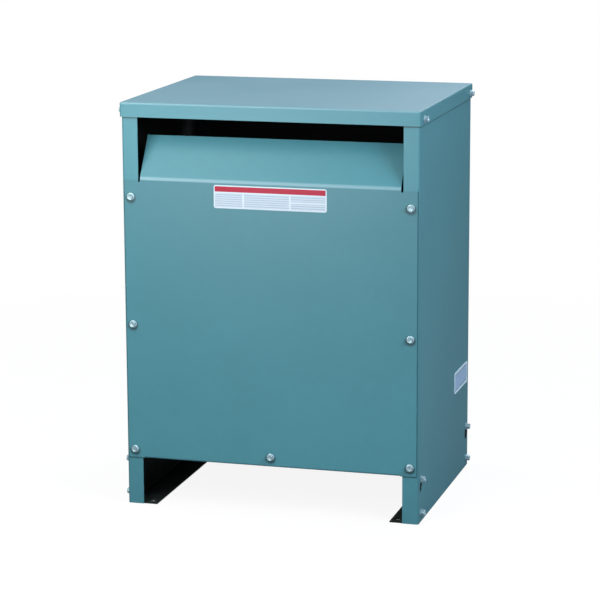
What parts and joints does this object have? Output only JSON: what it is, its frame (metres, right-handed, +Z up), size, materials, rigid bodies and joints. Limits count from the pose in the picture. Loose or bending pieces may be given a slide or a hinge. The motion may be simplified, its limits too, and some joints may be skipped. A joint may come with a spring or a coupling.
{
  "type": "dry-type power transformer",
  "caption": "Ventilated dry-type power transformer: sheet-steel cabinet on base rails with sloped air baffles front and rear, an overhanging cover, and a core with coils inside.",
  "frame": {"origin": "on the floor, at the middle of the footprint", "axes": "+Z up, -Y towards the front panel, +X to the right seen from the front"},
  "size_m": [0.706, 0.55, 0.95],
  "materials": {
    "enclosure_paint": "satin baked enamel, blue-grey",
    "base_paint": "dark satin enamel",
    "isolator_rubber": "matte",
    "plated_steel": "zinc plated",
    "core_steel": "varnished laminations",
    "coil_varnish": "dark baked varnish",
    "insulating_board": "varnished fibre board",
    "bar_aluminium": "bare rolled bar",
    "standoff_resin": "moulded resin"
  },
  "bodies": {
    "root": {"top_cover": "enclosure_paint", "left_side_panel": "enclosure_paint", "right_side_panel": "enclosure_paint", "front_panel": "enclosure_paint", "rear_panel": "enclosure_paint", "front_sill": "base_paint", "rear_sill": "base_paint", "left_base_rail": "base_paint", "right_base_rail": "base_paint", "front_left_isolator": "isolator_rubber", "front_right_isolator": "isolator_rubber", "rear_left_isolator": "isolator_rubber", "rear_right_isolator": "isolator_rubber", "lower_front_clamp": "base_paint", "lower_rear_clamp": "base_paint", "upper_front_clamp": "base_paint", "upper_rear_clamp": "base_paint", "front_left_tie_rod": "plated_steel", "front_right_tie_rod": "plated_steel", "rear_left_tie_rod": "plated_steel", "rear_right_tie_rod": "plated_steel", "bottom_yoke": "core_steel", "top_yoke": "core_steel", "left_core_leg": "core_steel", "centre_core_leg": "core_steel", "right_core_leg": "core_steel", "left_inner_winding": "coil_varnish", "centre_inner_winding": "coil_varnish", "right_inner_winding": "coil_varnish", "left_outer_winding": "coil_varnish", "centre_outer_winding": "coil_varnish", "right_outer_winding": "coil_varnish", "left_duct_spacers": "insulating_board", "centre_duct_spacers": "insulating_board", "right_duct_spacers": "insulating_board", "lower_coil_blocks": "insulating_board", "upper_coil_blocks": "insulating_board", "left_line_bar": "bar_aluminium", "centre_line_bar": "bar_aluminium", "right_line_bar": "bar_aluminium", "neutral_bar": "bar_aluminium", "neutral_standoffs": "standoff_resin", "left_tap_board": "insulating_board", "centre_tap_board": "insulating_board", "right_tap_board": "insulating_board"}
  },
  "joints": []
}
